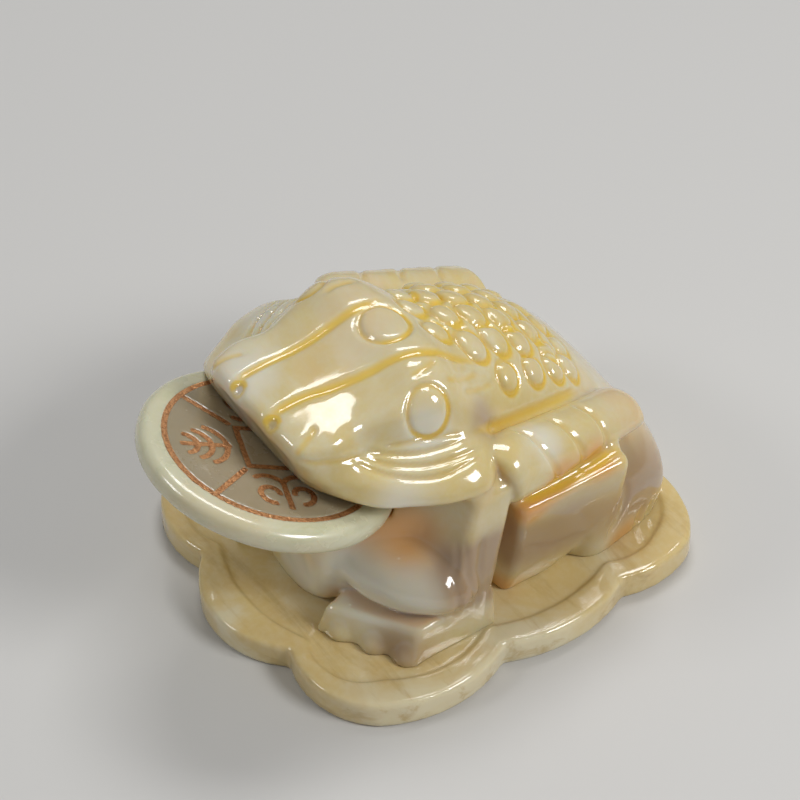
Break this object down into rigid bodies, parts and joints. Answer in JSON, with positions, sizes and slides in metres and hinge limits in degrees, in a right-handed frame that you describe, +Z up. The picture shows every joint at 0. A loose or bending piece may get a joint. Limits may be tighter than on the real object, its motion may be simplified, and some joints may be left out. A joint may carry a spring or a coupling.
{
  "type": "jade figurine",
  "caption": "Carved jade money toad on a lobed jade plate, with a loose engraved disc that slides out of its mouth.",
  "frame": {"origin": "middle of the base plate's underside, where the figurine rests on a surface", "axes": "+Z up, the toad looks along -Y, +X is the toad's left"},
  "size_m": [0.0896, 0.1197, 0.0674],
  "materials": {
    "plate_jade": "polished",
    "toad_jade": "polished",
    "coin_jade": "polished",
    "gilt": "rough"
  },
  "bodies": {
    "figure": {"base_plate": "plate_jade", "toad": "toad_jade"},
    "coin": {"coin_disc": "coin_jade", "gilt_ring": "gilt", "gilt_square": "gilt", "gilt_spokes": "gilt", "gilt_motif_front": "gilt", "gilt_motif_back": "gilt", "gilt_motif_left": "gilt", "gilt_motif_right": "gilt"}
  },
  "joints": [
    {"name": "coin_slide", "type": "slide", "parent": "figure", "child": "coin", "axis": [0, -0.9426, 0.3338], "range_m": [0, 0.034]}
  ]
}
